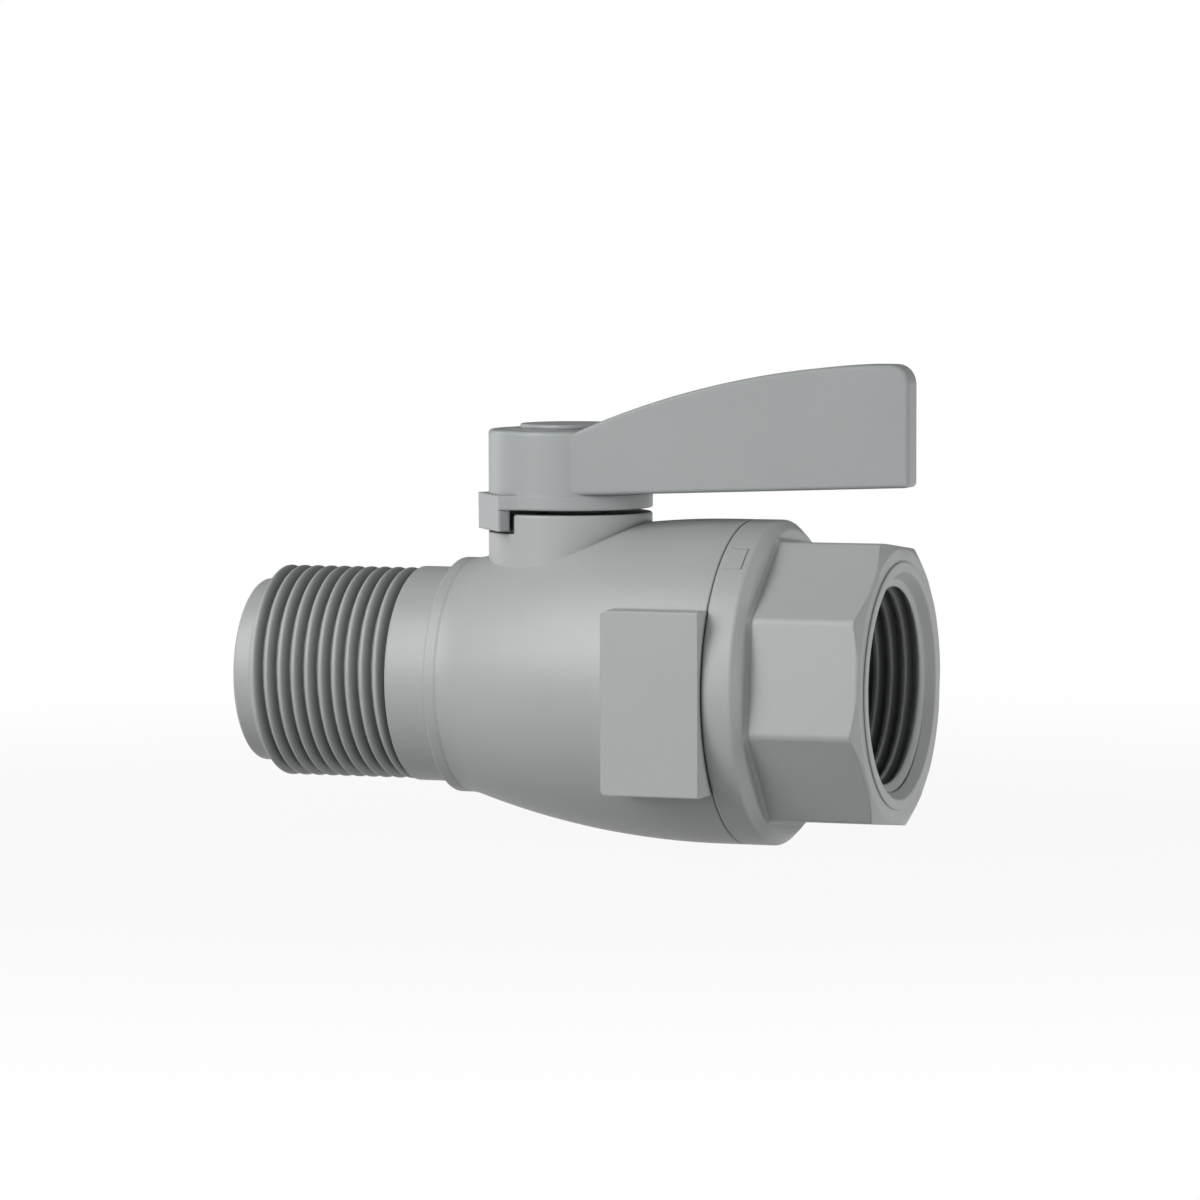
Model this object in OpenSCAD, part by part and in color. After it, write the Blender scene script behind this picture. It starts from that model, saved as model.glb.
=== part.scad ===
// Compact quarter-turn ball valve, moulded in grey PVC, with a 3/4 inch male thread at one end
// and a 3/4 inch female thread in an eight-sided end connector at the other.
// X is the flow axis, from the male end to the female end. Z is the stem axis, upwards.
// The origin is on the flow axis, where the male thread begins. Millimetres throughout.
// The lever is drawn open, along the pipe. It closes by a quarter turn towards -Y.

/* [Male end] */
// Outer radius of the male thread
male_r = 13.22; // [11:0.01:13.4]
// Length of the male thread
male_len = 17.9; // [12:0.1:22]
// Radius of the plain pilot before the thread
pilot_r = 11.45; // [10.5:0.05:12]
// Length of the plain pilot before the thread
pilot_len = 3; // [1.5:0.1:5]
// Size of the bevel on the pilot's end
pilot_bevel = 0.3; // [0.1:0.1:0.8]
// Length of the cone that leads into the male thread
male_lead = 0.8; // [0.4:0.1:1.4]
// Radius of the plain shank behind the thread
shank_r = 13.4; // [13.3:0.05:14]
// Length of the plain shank behind the thread
shank_len = 5.8; // [3:0.1:12]
// Radius of the waterway
port_r = 8; // [6:0.1:8.4]

/* [Body] */
// Radius of the narrow ring where the belly begins
collar_r = 14.65; // [14.4:0.05:15]
// Width of the narrow ring
collar_w = 1.6; // [0.8:0.1:2.5]
// Radius of the body at the seam
body_r = 20; // [19.5:0.05:21]
// Length from the narrow ring to the seam
belly_len = 36.3; // [35:0.1:40]
// Radius of the arc of the belly, seen from the side
belly_arc_r = 100; // [90:1:120]
// Length of the straight stretch before the seam
belly_straight = 3.1; // [1:0.1:6]
// Distance of the stem axis from the seam
stem_to_seam = 23.8; // [23.4:0.1:26]
// Length of the wrench pads
pad_len = 12.5; // [6:0.1:16]
// Height of the wrench pads
pad_h = 22.4; // [12:0.1:26]
// How far the pad faces stand out from the body
pad_proud = 0.7; // [0.3:0.05:4]
// How far the middle of the pads lies below the flow axis
pad_drop = 1.3; // [0:0.1:3]
// How far the wrench pads reach into the body
pad_root = 6; // [4:0.5:8]
// Radius of the small round on the pad corners
pad_round = 0.6; // [0.2:0.1:2]

/* [Stem neck] */
// Outer radius of the neck that carries the stem
neck_r = 10.15; // [9.5:0.05:11]
// Height of the neck's rim above the top of the body
neck_rise = 0.6; // [0.4:0.05:4]
// Depth of the notch in the rim that stops the lever
notch_depth = 2.4; // [1.2:0.1:2.6]
// Radius of the inner wall of the notch
notch_in_r = 8.95; // [7.5:0.05:9.2]

/* [End connector] */
// Width of the flange ring beside the seam
flange_w = 3.7; // [2:0.05:8]
// Size of the bevel on the flange's free edge
flange_bevel = 1.1; // [0.4:0.1:1.4]
// Length of the octagon past the flange
octagon_len = 14.15; // [9:0.05:20]
// Size of the bevel at the octagon's foot
foot_bevel = 0.5; // [0.2:0.1:0.8]
// Width of the octagon across its flats
octagon_af = 34; // [32.5:0.1:36]
// Turn of the octagon about the flow axis
octagon_turn = 6.2; // [0:0.1:45]
// How much the chamfer takes off the octagon's corners, along the axis
octagon_chamfer = 1; // [0.3:0.1:2]
// Radius of the end face inside the chamfer
chamfer_r = 16.7; // [16:0.05:16.9]
// Inner radius of the female thread
female_r = 12.06; // [11:0.01:12.6]
// Length of the female thread
female_len = 13.8; // [10:0.1:15]
// Radius of the plain mouth before the female thread
mouth_r = 13.9; // [13.3:0.05:14.8]
// Depth of the plain mouth before the female thread
mouth_depth = 1.6; // [0.5:0.1:3]
// Length of the lead-in cone between the mouth and the female thread
lead_in = 1.1; // [0.5:0.1:2]
// Outer radius of the raised ring on the end face
lip_r = 15.15; // [14.9:0.05:16]
// Height of the raised ring on the end face
lip_h = 0.25; // [0.1:0.05:0.6]
// Radius of the connector's fixing thread
fixing_r = 16.5; // [15.6:0.05:17]
// Length of the connector's fixing thread
fixing_len = 7; // [5:0.1:7.4]

/* [Ball and seats] */
// Radius of the ball
ball_r = 13; // [12.7:0.05:13.1]
// Outer radius of the seats
seat_r = 11.8; // [11:0.05:11.9]
// Inner radius of the seats
seat_in_r = 8.2; // [8:0.05:8.6]
// Length of the seats
seat_len = 3.7; // [2.5:0.1:4.2]
// Distance of the front of each seat from the middle of the ball
seat_front = 8.9; // [8.6:0.05:9.3]
// Thickness of the rubber rings behind the seats
backing_d = 1.5; // [1:0.05:2]
// Least wall of the connector's nose round its seat
nose_wall = 1.4; // [1:0.05:2]
// Distance from the front of the outlet seat back to the connector's nose
nose_back = 0.5; // [0.2:0.1:1]
// Depth of the step from the connector's nose to its seal groove
groove_step = 0.2; // [0.1:0.05:0.5]
// Length of the stretch of the bore that holds the connector's seal
seal_len = 4.4; // [4:0.1:5]
// Length of the connector's shoulder in front of its seal groove
seal_lead = 0.6; // [0.4:0.1:1]
// Spare width of the connector's seal groove
seal_spare = 0.4; // [0.2:0.1:0.8]
// Length of the relief before the connector's fixing thread
thread_relief = 0.3; // [0.2:0.1:0.6]
// Length of the cone between the inlet seat's bore and the chamber
chamber_cone = 3; // [2:0.1:4]
// Length of the cone between the waterway and the female thread
socket_cone = 3; // [2:0.1:3.5]
// Thickness of the rubber ring that seals the connector
seal_d = 1.76; // [1.4:0.02:1.8]
// Width of the slot in the ball
slot_w = 5; // [3:0.1:6.5]
// Thickness of the wall between the slot and the waterway
slot_floor = 1.6; // [1:0.1:2.5]

/* [Stem] */
// Radius of the stem in the neck
stem_r = 4.5; // [4:0.05:5]
// Radius of the stem's flange
stem_flange_r = 6.8; // [6:0.05:8]
// Thickness of the stem's flange
stem_flange_t = 1.3; // [0.8:0.1:1.6]
// Thickness of the thrust washer above the flange
thrust_t = 0.6; // [0.3:0.05:1]
// Thickness of the stem's rubber rings
stem_ring_d = 1.3; // [1:0.05:1.6]
// Spare height of the grooves for the stem's rubber rings
ring_spare = 0.2; // [0.1:0.05:0.4]
// Half of the length of the stem's tang
tang_half = 5; // [3:0.1:6]
// Width of the square drive across its flats
drive_af = 6.6; // [5:0.1:7.6]
// Length of the square drive
drive_len = 5.2; // [3:0.1:6]

/* [Lever] */
// Radius of the lever's hub
hub_r = 10.15; // [9:0.05:10.8]
// Height of the hub above the collar
hub_h = 7.9; // [7:0.05:12]
// Radius of the round on the hub's top edge
hub_round = 0.5; // [0.2:0.05:1]
// Radius of the lever's collar
lever_collar_r = 10.2; // [9.5:0.05:11]
// Height of the lever's collar
lever_collar_h = 1.8; // [1:0.05:3]
// Gap between the neck's rim and the lever's collar
rim_gap = 0.55; // [0.3:0.05:1]
// Reach of the blade from the stem axis
blade_reach = 44.3; // [35:0.1:60]
// Thickness of the blade at its tip
blade_tip_t = 3.6; // [2.5:0.1:6]
// Height of the blade's top at its tip, above the collar
blade_top = 16.25; // [13:0.1:20]
// Radius of the arc of the blade's top
blade_arc_r = 95; // [80:1:140]
// Distance from the tip back to where the arc of the blade's top is highest
blade_crest = 1.3; // [0:0.1:6]
// Height of the blade's lower edge above the collar, at the hub
blade_low_hub = 0.05; // [0.05:0.05:1]
// Height of the blade's lower edge above the collar, at the tip
blade_low_tip = 1.25; // [0.5:0.05:3]
// Radius of the tip's upper corner
tip_round = 2.4; // [1:0.1:5]
// Radius of the tip's lower corner
tip_low_round = 0.6; // [0.3:0.1:2]
// Distance of the stop lug's outer face from the stem axis
lug_r = 10.6; // [10.4:0.05:11.5]
// Half of the width of the stop lug's outer face
lug_half = 3.9; // [2.5:0.1:5]
// Half of the width of the tab that hangs in the notch
tab_half = 4.9; // [4:0.1:6]
// Angle from the lug's middle to where its sides run into the collar
lug_root = 37; // [30:0.5:45]
// Direction of the stop lug about the stem axis, lever open
lug_dir = 216; // [200:1:230]

/* [Cap and screw] */
// Radius of the cap
cap_r = 6.2; // [5.6:0.05:7.5]
// Height of the cap above the hub
cap_h = 0.55; // [0.4:0.05:1.5]
// Height of the cap's skirt
skirt_h = 0.8; // [0.5:0.05:1]
// Thickness of the cap's skirt
skirt_t = 1; // [0.6:0.1:1.3]
// Radius of the low land round the cap
land_r = 8; // [7.8:0.1:9]
// Height of the low land round the cap
land_h = 0.12; // [0.05:0.01:0.3]
// Radius of the pocket under the cap
pocket_r = 4.4; // [4:0.05:5]
// Depth of the pocket under the cap
pocket_depth = 3; // [2.8:0.1:3.6]
// Radius of the screw's shank
screw_r = 1.45; // [1.2:0.05:2]
// Radius of the screw's head
screw_head_r = 2.7; // [2.4:0.05:3.1]
// Height of the screw's head
screw_head_h = 1.5; // [1:0.1:1.8]
// Length of the screw's shank
screw_len = 7; // [5:0.1:9]
// Spare depth of the screw's hole in the stem
screw_spare = 0.5; // [0.3:0.1:1.5]
// Radius of the screw's washer
washer_r = 3.4; // [3.2:0.05:3.9]
// Thickness of the screw's washer
washer_t = 0.5; // [0.3:0.05:0.8]

/* [Clearances] */
// Radial gap of the stem in the neck
stem_gap = 0.05; // [0.02:0.01:0.1]
// Gap between the ball and each seat
seat_gap = 0.08; // [0.03:0.01:0.1]
// Gap of pieces that are pushed together
push_gap = 0.05; // [0.02:0.01:0.1]
// Gap round the ball in its chamber
chamber_gap = 0.4; // [0.3:0.05:0.6]
// Gap between the lug's tab and the notch
lug_gap = 0.3; // [0.2:0.05:0.6]
// Gap between the ball and the stem's flange
ball_gap = 0.3; // [0.2:0.05:0.6]
// Gap under the tang and above the square drive
end_gap = 0.2; // [0.1:0.05:0.4]
// How far the blade and the lug start inside the round they grow from
root_sink = 0.15; // [0.1:0.05:0.4]
// Small overrun of a cut past the surface it opens
over = 0.1; // [0.05:0.05:0.5]

/* [Hidden] */
$fn = 96;

grey = [0.60, 0.63, 0.63];
pale = [0.90, 0.90, 0.88];
ball_grey = [0.45, 0.48, 0.49];
rubber_black = [0.08, 0.08, 0.08];
steel = [0.75, 0.76, 0.78];

// Stations along the flow axis
collar_x = male_len + shank_len;
belly_x = collar_x + collar_w;
seam_x = belly_x + belly_len;
stem_x = seam_x - stem_to_seam;
flange_end_x = seam_x + flange_w;
octagon_x = flange_end_x + flange_bevel;
end_x = octagon_x + octagon_len;

// The socket, from its mouth inwards
lead_x = end_x + lip_h - mouth_depth - lead_in;
female_x = lead_x - female_len;

// The belly's arc is level where the straight stretch before the seam begins
belly_arc_x = seam_x - belly_straight;

// Faces that stand out from the body
pad_y = body_r + pad_proud;
neck_top = body_r + neck_rise;

// The bore from the seats outwards: the chamber clears the ball and the connector's nose round its seat
seat_back = seat_front + seat_len;
pocket_end = seat_back + backing_d + 2 * push_gap;
seat_bore_r = seat_r + push_gap;
chamber_r = max(ball_r + chamber_gap, seat_bore_r + nose_wall + 2 * push_gap);
nose_r = chamber_r - 2 * push_gap;
nose_x = stem_x + seat_front + nose_back;
fixing_x = seam_x - fixing_len;
seal_groove_r = nose_r - groove_step;
seal_bore_r = seal_groove_r + seal_d + 2 * push_gap;
seal_x = fixing_x - seal_len;
groove_x = seal_x + seal_lead;
groove_end_x = groove_x + seal_d + seal_spare;

// Heights above the flow axis
slot_z = port_r + slot_floor;
flange_z = ball_r + ball_gap;
thrust_z = flange_z + stem_flange_t;
shoulder_z = thrust_z + thrust_t + push_gap;
collar_z = neck_top + rim_gap;
hub_z = collar_z + lever_collar_h;
hub_top = hub_z + hub_h;
cap_z = hub_top + land_h;
pocket_z = hub_top - pocket_depth;
drive_z = collar_z - end_gap;
drive_top = drive_z + drive_len;
notch_z = neck_top - notch_depth;
tab_z = notch_z + lug_gap;
ring_groove_w = stem_ring_d + ring_spare;
ring_land = (neck_top - shoulder_z - 2 * ring_groove_w) / 3;
ring_low_z = shoulder_z + ring_land;
ring_high_z = ring_low_z + ring_groove_w + ring_land;
ring_groove_r = stem_r - stem_ring_d - push_gap;

// Depth of the screw's hole in the stem
screw_grip = screw_len - (pocket_z + washer_t - drive_top) + screw_spare;

// The blade's sides leave the hub as tangents and close in to the tip
blade_taper = asin(hub_r / norm([blade_reach, blade_tip_t / 2])) - atan2(blade_tip_t / 2, blade_reach);

// Ring or disc about the flow axis, from one station to another
module along_x(from, to, r, r_end = undef) {
    translate([from, 0, 0])
        rotate([0, 90, 0])
            cylinder(h = to - from, r1 = r, r2 = is_undef(r_end) ? r : r_end);
}

// Ring or disc about the stem axis, from one height to another
module along_z(from, to, r) {
    translate([stem_x, 0, from])
        cylinder(h = to - from, r = r);
}

// Rubber ring about the flow axis
module rubber_ring_x(x, r, d) {
    translate([x, 0, 0])
        rotate([0, 90, 0])
            rotate_extrude()
                translate([r, 0])
                    circle(d = d, $fn = 32);
}

// Rubber ring about the stem axis
module rubber_ring_z(z, r, d) {
    translate([stem_x, 0, z])
        rotate_extrude()
            translate([r, 0])
                circle(d = d, $fn = 32);
}

// The belly: an arc that swells from the narrow ring and lies level before the seam
module belly() {
    translate([belly_arc_x, 0, 0])
        rotate([0, 90, 0])
            rotate_extrude()
                mirror([0, 1])
                    intersection() {
                        translate([body_r - belly_arc_r, 0])
                            circle(r = belly_arc_r, $fn = 360);
                        square([body_r, belly_arc_x - belly_x]);
                    }
    along_x(belly_arc_x, seam_x, body_r);
}

// Flat-faced pad on each side, which a wrench holds while the pipe is screwed in
module wrench_pads() {
    pad_in = body_r - pad_root;
    for (side = [-1, 1])
        translate([seam_x - pad_len, side * (pad_in + pad_y) / 2, -pad_drop])
            rotate([90, 0, 0])
                linear_extrude(height = pad_y - pad_in, center = true)
                    pad_outline();
}

module pad_outline() {
    hull() {
        for (z = [-1, 1])
            translate([pad_round, z * (pad_h / 2 - pad_round)])
                circle(r = pad_round, $fn = 24);
        translate([pad_len - pad_round, -pad_h / 2])
            square([pad_round, pad_h]);
    }
}

// The notch in the rim lets the lug swing a quarter turn and stops it at both ends
module notch() {
    wide = tab_half + lug_gap;
    far = 2 * neck_r;
    translate([stem_x, 0, notch_z])
        linear_extrude(height = notch_depth + over)
            difference() {
                union() {
                    for (turn = [lug_dir - 90, lug_dir])
                        rotate(turn)
                            translate([0, -wide])
                                square([far, 2 * wide]);
                    rotate(lug_dir - 90)
                        square([far, far]);
                }
                circle(r = notch_in_r);
            }
}

module body() {
    color(grey)
        difference() {
            union() {
                along_x(-pilot_len, -pilot_len + pilot_bevel, pilot_r - pilot_bevel, pilot_r);
                along_x(-pilot_len + pilot_bevel, -male_lead, pilot_r);
                along_x(-male_lead, 0, pilot_r, male_r);
                along_x(0, male_len, male_r);
                along_x(male_len, collar_x, shank_r);
                along_x(collar_x, belly_x, collar_r);
                belly();
                wrench_pads();
                along_z(0, neck_top, neck_r);
            }
            along_x(-pilot_len - over, stem_x, port_r);
            along_x(stem_x - pocket_end, stem_x, seat_bore_r);
            along_x(stem_x - seat_front, stem_x - seat_front + chamber_cone, seat_bore_r, chamber_r);
            along_x(stem_x - seat_front + chamber_cone, seam_x, chamber_r);
            along_x(seal_x, seam_x, seal_bore_r);
            along_x(fixing_x, seam_x + over, fixing_r + push_gap);
            along_z(0, neck_top + over, stem_r + stem_gap);
            along_z(0, shoulder_z, stem_flange_r + 2 * push_gap);
            notch();
        }
}

// Eight-sided block along the flow axis, with its width across flats at both ends
module octagon(from, to, af, af_end) {
    translate([from, 0, 0])
        rotate([0, 90, 0])
            rotate(22.5 - octagon_turn)
                cylinder(h = to - from, r1 = af / 2 / cos(22.5), r2 = af_end / 2 / cos(22.5), $fn = 8);
}

module end_connector() {
    corner_r = octagon_af / 2 / cos(22.5);
    color(grey)
        difference() {
            union() {
                along_x(nose_x, groove_x, nose_r);
                along_x(groove_x, groove_end_x, seal_groove_r);
                along_x(groove_end_x, fixing_x + thread_relief, seal_bore_r - push_gap);
                along_x(fixing_x + thread_relief, seam_x, fixing_r);
                along_x(seam_x, flange_end_x, body_r);
                along_x(flange_end_x, octagon_x, body_r, body_r - flange_bevel);
                octagon(octagon_x, octagon_x + foot_bevel, octagon_af + 2 * foot_bevel, octagon_af);
                intersection() {
                    octagon(flange_end_x, end_x, octagon_af, octagon_af);
                    union() {
                        along_x(flange_end_x, end_x - octagon_chamfer, corner_r + over);
                        along_x(end_x - octagon_chamfer, end_x, corner_r, chamfer_r);
                    }
                }
                along_x(end_x - over, end_x + lip_h, lip_r);
            }
            along_x(nose_x - over, stem_x + pocket_end, seat_bore_r);
            along_x(nose_x, female_x, port_r);
            along_x(female_x - socket_cone, female_x, port_r, female_r);
            along_x(female_x, end_x, female_r);
            along_x(lead_x, lead_x + lead_in, female_r, mouth_r);
            along_x(lead_x + lead_in, end_x + lip_h + over, mouth_r);
        }
}

// Seat: a ring whose inner face follows the ball
module seat(side) {
    color(pale)
        translate([stem_x, 0, 0])
            rotate([0, 90 * side, 0])
                difference() {
                    translate([0, 0, seat_front])
                        cylinder(h = seat_len, r = seat_r);
                    cylinder(h = seat_back + over, r = seat_in_r);
                    sphere(r = ball_r + seat_gap);
                }
}

// Rubber ring behind a seat
module seat_ring(side) {
    color(rubber_black)
        rubber_ring_x(stem_x + side * (seat_back + push_gap + backing_d / 2),
            seat_r - backing_d / 2 - push_gap, backing_d);
}

module connector_ring() {
    color(rubber_black)
        rubber_ring_x((groove_x + groove_end_x) / 2, seal_groove_r + push_gap + seal_d / 2, seal_d);
}

// Ball with its waterway and, across the top, the slot that takes the stem's tang
module ball() {
    color(ball_grey)
        translate([stem_x, 0, 0])
            difference() {
                sphere(r = ball_r);
                rotate([0, 90, 0])
                    cylinder(h = 2 * ball_r + 2 * over, r = port_r, center = true);
                translate([-slot_w / 2, -ball_r, slot_z])
                    cube([slot_w, 2 * ball_r, ball_r]);
            }
}

// Stem: tang, flange, grooved shaft and square drive, with a hole for the lever's screw
module stem() {
    tang_w = slot_w - 4 * push_gap;
    tang_z = slot_z + end_gap;
    color(grey)
        difference() {
            union() {
                translate([stem_x - tang_w / 2, -tang_half, tang_z])
                    cube([tang_w, 2 * tang_half, flange_z - tang_z]);
                along_z(flange_z, thrust_z, stem_flange_r);
                along_z(thrust_z, drive_z, stem_r);
                intersection() {
                    along_z(drive_z, drive_top, stem_r);
                    translate([stem_x, 0, (drive_z + drive_top) / 2])
                        cube([drive_af, drive_af, drive_len], center = true);
                }
            }
            for (z = [ring_low_z, ring_high_z])
                difference() {
                    along_z(z, z + ring_groove_w, stem_r + over);
                    along_z(z, z + ring_groove_w, ring_groove_r);
                }
            along_z(drive_top - screw_grip, drive_top + over, screw_r + push_gap);
        }
}

module stem_ring(z) {
    color(rubber_black)
        rubber_ring_z(z + ring_groove_w / 2, ring_groove_r + push_gap / 2 + stem_ring_d / 2, stem_ring_d);
}

module thrust_washer() {
    color(pale)
        difference() {
            along_z(thrust_z, thrust_z + thrust_t, stem_flange_r);
            along_z(thrust_z - over, thrust_z + thrust_t + over, stem_r + push_gap);
        }
}

// Side view of the blade: a long arc on top, a nearly level lower edge, both corners rounded
module blade_side() {
    intersection() {
        translate([blade_reach - blade_crest, blade_top - blade_arc_r])
            circle(r = blade_arc_r, $fn = 360);
        hull() {
            translate([0, blade_low_hub])
                square([over, blade_top]);
            translate([blade_reach - tip_round, blade_top - tip_round])
                circle(r = tip_round, $fn = 48);
            translate([blade_reach - tip_low_round, blade_low_tip + tip_low_round])
                circle(r = tip_low_round, $fn = 24);
        }
    }
}

// Plan of the blade: straight sides that leave the hub as tangents
module blade_plan() {
    foot = (hub_r - root_sink) * [sin(blade_taper), cos(blade_taper)];
    tip = [blade_reach + over, blade_tip_t / 2];
    polygon([[0, 0], foot, tip, [tip.x, -tip.y], [foot.x, -foot.y]]);
}

module blade() {
    translate([stem_x, 0, hub_z])
        intersection() {
            linear_extrude(height = blade_top + over)
                blade_plan();
            rotate([90, 0, 0])
                linear_extrude(height = 3 * hub_r, center = true)
                    blade_side();
        }
}

// Hub with a rounded top edge
module hub() {
    translate([stem_x, 0, hub_z])
        rotate_extrude() {
            square([hub_r, hub_h - hub_round]);
            square([hub_r - hub_round, hub_h]);
            translate([hub_r - hub_round, hub_h - hub_round])
                circle(r = hub_round, $fn = 32);
        }
}

// Plan of the stop lug: a flat outer face, with sides that run into the collar
module lug_plan() {
    root = (lever_collar_r - root_sink) * [cos(lug_root), sin(lug_root)];
    polygon([[0, 0], root, [lug_r, lug_half], [lug_r, -lug_half], [root.x, -root.y]]);
}

// Stop lug: level with the collar above, and a tab that hangs in the notch below
module stop_lug() {
    translate([stem_x, 0, 0])
        rotate(lug_dir) {
            translate([0, 0, collar_z])
                linear_extrude(height = lever_collar_h)
                    lug_plan();
            translate([0, 0, tab_z])
                linear_extrude(height = collar_z - tab_z)
                    difference() {
                        intersection() {
                            lug_plan();
                            translate([0, -tab_half])
                                square([lug_r, 2 * tab_half]);
                        }
                        circle(r = notch_in_r + lug_gap / 2);
                    }
        }
}

module lever() {
    socket_af = drive_af + 2 * push_gap;
    color(grey)
        difference() {
            union() {
                along_z(collar_z, hub_z, lever_collar_r);
                hub();
                along_z(hub_top - over, cap_z, land_r);
                blade();
                stop_lug();
            }
            intersection() {
                along_z(collar_z - over, drive_top + end_gap, stem_r + push_gap);
                translate([stem_x, 0, (collar_z + drive_top) / 2])
                    cube([socket_af, socket_af, 2 * drive_len], center = true);
            }
            along_z(collar_z, cap_z, screw_r + push_gap);
            along_z(pocket_z, cap_z + over, pocket_r);
            translate([stem_x, 0, cap_z])
                cylinder(h = blade_top, r = cap_r + push_gap);
        }
}

// Pan-head screw that holds the lever on the stem
module lever_screw() {
    head_z = pocket_z + washer_t;
    color(steel)
        union() {
            along_z(head_z - screw_len, head_z, screw_r);
            along_z(head_z, head_z + screw_head_h, screw_head_r);
        }
}

module screw_washer() {
    color(steel)
        difference() {
            along_z(pocket_z, pocket_z + washer_t, washer_r);
            along_z(pocket_z - over, pocket_z + washer_t + over, screw_r + push_gap);
        }
}

// Push-in cap: a disc with a skirt that grips the pocket
module hub_cap() {
    color(grey)
        difference() {
            union() {
                along_z(cap_z, cap_z + cap_h, cap_r);
                along_z(cap_z - skirt_h, cap_z + cap_h / 2, pocket_r - push_gap);
            }
            along_z(cap_z - skirt_h - over, cap_z - end_gap, pocket_r - skirt_t);
        }
}

body();
end_connector();
ball();
seat(-1);  // seat_inlet
seat(1);  // seat_outlet
seat_ring(-1);  // seat_ring_inlet
seat_ring(1);  // seat_ring_outlet
connector_ring();
stem();
stem_ring(ring_low_z);  // stem_ring_lower
stem_ring(ring_high_z);  // stem_ring_upper
thrust_washer();
lever();
lever_screw();
screw_washer();
hub_cap();
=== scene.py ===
# %% [markdown]
# # Isolation valve in grey moulded plastic
# A compact quarter-turn ball valve: a body with a male pipe thread, an eight-sided end connector
# with a female one, and a blade lever on a short stem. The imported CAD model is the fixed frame.
# This lesson gives each CAD node its material, and rebuilds the mouldings that show with what a
# plain solid lacks: cut threads, soft moulded edges and fine detail. The scene is in metres. The sizes
# of the pieces are written in millimetres, and MM turns them into metres.

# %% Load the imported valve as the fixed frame
import math

import bmesh
import bpy
from mathutils import Matrix, Vector


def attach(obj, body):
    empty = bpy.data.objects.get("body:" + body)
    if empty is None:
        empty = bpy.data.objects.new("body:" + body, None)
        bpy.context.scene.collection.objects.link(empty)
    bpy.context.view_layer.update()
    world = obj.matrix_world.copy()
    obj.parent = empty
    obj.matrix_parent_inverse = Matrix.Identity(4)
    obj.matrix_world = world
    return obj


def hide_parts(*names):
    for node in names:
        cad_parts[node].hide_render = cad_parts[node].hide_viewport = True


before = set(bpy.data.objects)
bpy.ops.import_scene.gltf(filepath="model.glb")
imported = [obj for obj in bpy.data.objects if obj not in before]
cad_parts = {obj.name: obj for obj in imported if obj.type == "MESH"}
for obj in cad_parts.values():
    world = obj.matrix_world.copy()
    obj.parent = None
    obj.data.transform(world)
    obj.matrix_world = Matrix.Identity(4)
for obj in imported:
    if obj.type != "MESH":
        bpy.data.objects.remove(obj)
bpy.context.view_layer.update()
MM = 0.001

# %% [markdown]
# Many pieces here are turned shapes. A real mould for them is turned on a lathe, so the same idea is
# used: a closed outline of points is swept once round an axis. Corners get a small round first, since
# a moulded edge is never sharp. The outline closes on itself, so the mesh has no seam and no open end.

# %% Outlines with rounded corners, and the lathe that turns them
def rounded(corners, steps=4):
    """Corners are (a, b) or (a, b, radius). A radius puts an arc of steps + 1 points there instead."""
    points = []
    for i, corner in enumerate(corners):
        here = Vector(corner[:2])
        if len(corner) == 2:
            points.append(tuple(here))
            continue
        back = (Vector(corners[i - 1][:2]) - here).normalized()
        ahead = (Vector(corners[(i + 1) % len(corners)][:2]) - here).normalized()
        half = back.angle(ahead) / 2
        centre = here + (back + ahead).normalized() * corner[2] / math.sin(half)
        first = here + back * corner[2] / math.tan(half) - centre
        last = here + ahead * corner[2] / math.tan(half) - centre
        turn = first.angle_signed(last)
        for k in range(steps + 1):
            angle = -turn * k / steps
            c, s = math.cos(angle), math.sin(angle)
            points.append((centre.x + c * first.x - s * first.y, centre.y + s * first.x + c * first.y))
    return points


def mesh_object(name, vertices, faces):
    """A mesh object from points in millimetres, with its faces turned outwards."""
    mesh = bpy.data.meshes.new(name)
    mesh.from_pydata([Vector(v) * MM for v in vertices], [], faces)
    made = bmesh.new()
    made.from_mesh(mesh)
    bmesh.ops.remove_doubles(made, verts=made.verts, dist=1e-7)
    bmesh.ops.recalc_face_normals(made, faces=made.faces)
    made.to_mesh(mesh)
    made.free()
    piece = bpy.data.objects.new(name, mesh)
    bpy.context.scene.collection.objects.link(piece)
    return piece


def turned(name, outline, axis="x", centre=0.0, steps=192):
    """Turns an outline of (station, radius) points about the flow axis, or about Z at X = centre."""
    vertices, faces, count = [], [], len(outline)
    for i in range(steps):
        angle = 2 * math.pi * i / steps
        for station, radius in outline:
            a, b = radius * math.cos(angle), radius * math.sin(angle)
            vertices.append((station, a, b) if axis == "x" else (centre + a, b, station))
    for i in range(steps):
        for k in range(count):
            n, m = (k + 1) % count, (i + 1) % steps
            faces.append((i * count + k, i * count + n, m * count + n, m * count + k))
    return mesh_object(name, vertices, faces)


def prism(name, outline, low, high):
    """A straight block along Z over an outline of (x, y) points."""
    count = len(outline)
    vertices = [(x, y, z) for z in (low, high) for x, y in outline]
    faces = [tuple(range(count)), tuple(range(count, 2 * count))]
    faces += [(k, (k + 1) % count, count + (k + 1) % count, count + k) for k in range(count)]
    return mesh_object(name, vertices, faces)


print("a corner of radius 1 becomes", len(rounded([(0, 0), (4, 0, 1), (4, 4)])) - 2, "points")

# %% [markdown]
# A moulding is one solid, although its form is easiest to think of as parts: a barrel, pads and a neck
# added, a waterway and a notch taken away. Booleans join and cut such closed parts exactly, as the CAD
# does. Each cutter is used once and then deleted, so that only the finished piece stays in the scene.

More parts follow.
